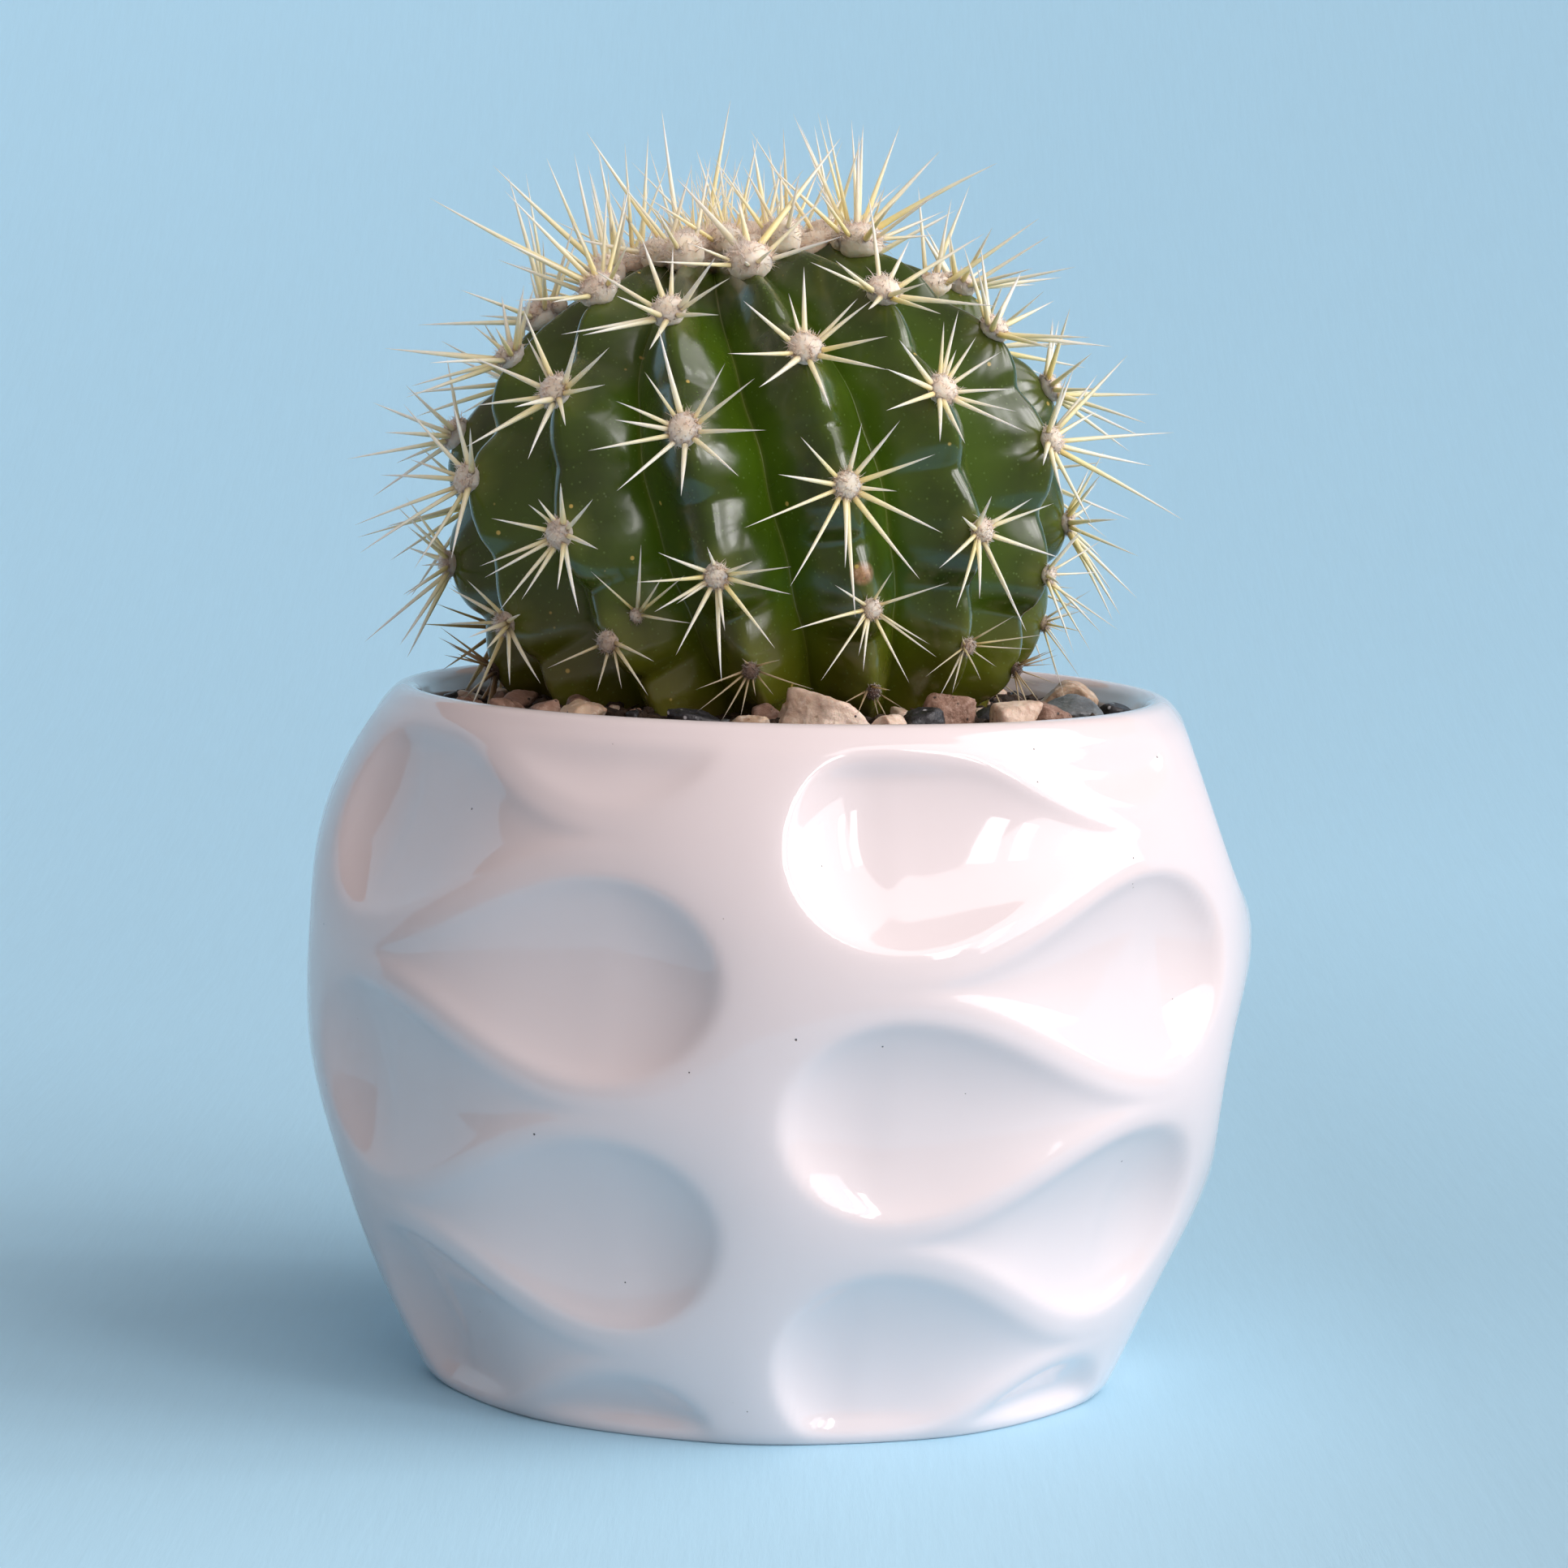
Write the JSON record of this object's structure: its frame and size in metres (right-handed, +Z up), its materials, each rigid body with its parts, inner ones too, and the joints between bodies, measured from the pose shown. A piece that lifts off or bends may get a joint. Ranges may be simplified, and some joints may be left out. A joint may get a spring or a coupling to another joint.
{
  "type": "potted round cactus",
  "caption": "Round ribbed cactus with clusters of pale spines, leaning slightly in gravel-dressed soil in a squat white glazed pot with interlocking drop-shaped dimples.",
  "frame": {"origin": "on the floor, at the middle of the pot's foot", "axes": "+Z up through the plant, -Y towards the side shown in the picture, +X to its right"},
  "size_m": [0.0934, 0.0938, 0.1248],
  "materials": {
    "white_glaze": "gloss",
    "cactus_skin": "satin",
    "areole_felt": "matte",
    "potting_soil": "matte",
    "beige_quartz": "satin",
    "black_gravel": "matte",
    "brown_granite": "matte",
    "grey_slate": "satin"
  },
  "bodies": {
    "root": {"areole_rib01_2": "areole_felt", "areole_rib01_3": "areole_felt", "areole_rib01_4": "areole_felt", "areole_rib02_1": "areole_felt", "areole_rib02_2": "areole_felt", "areole_rib02_3": "areole_felt", "areole_rib02_4": "areole_felt", "areole_rib03_2": "areole_felt", "areole_rib03_3": "areole_felt", "areole_rib03_4": "areole_felt", "areole_rib03_5": "areole_felt", "areole_rib04_1": "areole_felt", "areole_rib04_2": "areole_felt", "areole_rib04_3": "areole_felt", "areole_rib04_4": "areole_felt", "areole_rib05_2": "areole_felt", "areole_rib05_3": "areole_felt", "areole_rib05_4": "areole_felt", "areole_rib06_1": "areole_felt", "areole_rib06_2": "areole_felt", "areole_rib06_3": "areole_felt", "areole_rib07_2": "areole_felt", "areole_rib07_3": "areole_felt", "areole_rib08_1": "areole_felt", "areole_rib08_2": "areole_felt", "areole_rib08_3": "areole_felt", "areole_rib09_2": "areole_felt", "areole_rib09_3": "areole_felt", "areole_rib10_1": "areole_felt", "areole_rib10_2": "areole_felt", "areole_rib11_2": "areole_felt", "areole_rib11_3": "areole_felt", "areole_rib12_1": "areole_felt", "areole_rib12_2": "areole_felt", "areole_rib12_3": "areole_felt", "areole_rib13_2": "areole_felt", "areole_rib13_3": "areole_felt", "areole_rib13_4": "areole_felt", "areole_rib14_1": "areole_felt", "areole_rib14_2": "areole_felt", "areole_rib14_3": "areole_felt", "areole_rib14_4": "areole_felt", "crown_wool": "areole_felt", "pot": "white_glaze", "soil": "potting_soil", "stem": "cactus_skin", "stone_beige_b": "beige_quartz", "stone_beige_small_a": "beige_quartz", "stone_black_a": "black_gravel", "stone_black_b": "black_gravel", "stone_brown_a": "brown_granite", "stone_brown_b": "brown_granite", "stone_pinkish_a": "brown_granite", "stone_quartz_large": "beige_quartz", "stone_slate": "grey_slate", "stone_slate_b": "grey_slate", "stone_tan_a": "beige_quartz", "stone_tan_b": "beige_quartz", "stone_tan_c": "beige_quartz", "stone_tan_d": "beige_quartz"}
  },
  "joints": []
}
